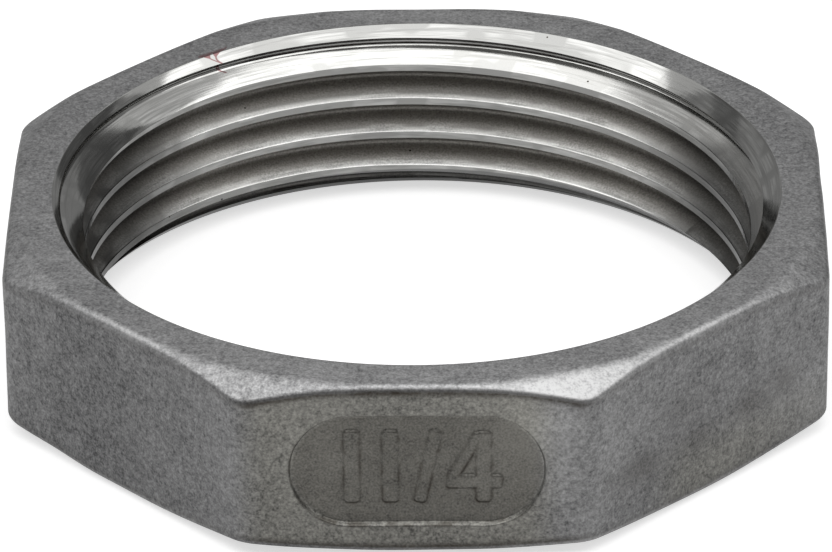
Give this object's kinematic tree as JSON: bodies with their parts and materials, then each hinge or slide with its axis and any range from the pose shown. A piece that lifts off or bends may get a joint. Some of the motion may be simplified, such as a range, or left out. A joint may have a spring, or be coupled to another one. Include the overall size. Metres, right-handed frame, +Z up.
{
  "type": "lock nut",
  "caption": "Octagonal cast pipe lock nut with corner chamfers on both faces, a threaded bore countersunk at both ends and a sunk size panel on one flat.",
  "frame": {"origin": "on the bore's axis, in the plane of the lower face", "axes": "+Z up along the bore's axis, the flat with the sunk size panel faces -Y, +X to the right of someone who looks at that flat"},
  "size_m": [0.0474, 0.0474, 0.0109],
  "materials": {
    "cast_stainless_steel": "investment-cast skin, matt and finely grained, with the bore turned and tapped bright"
  },
  "bodies": {
    "root": {"lock_nut": "cast_stainless_steel"}
  },
  "joints": []
}
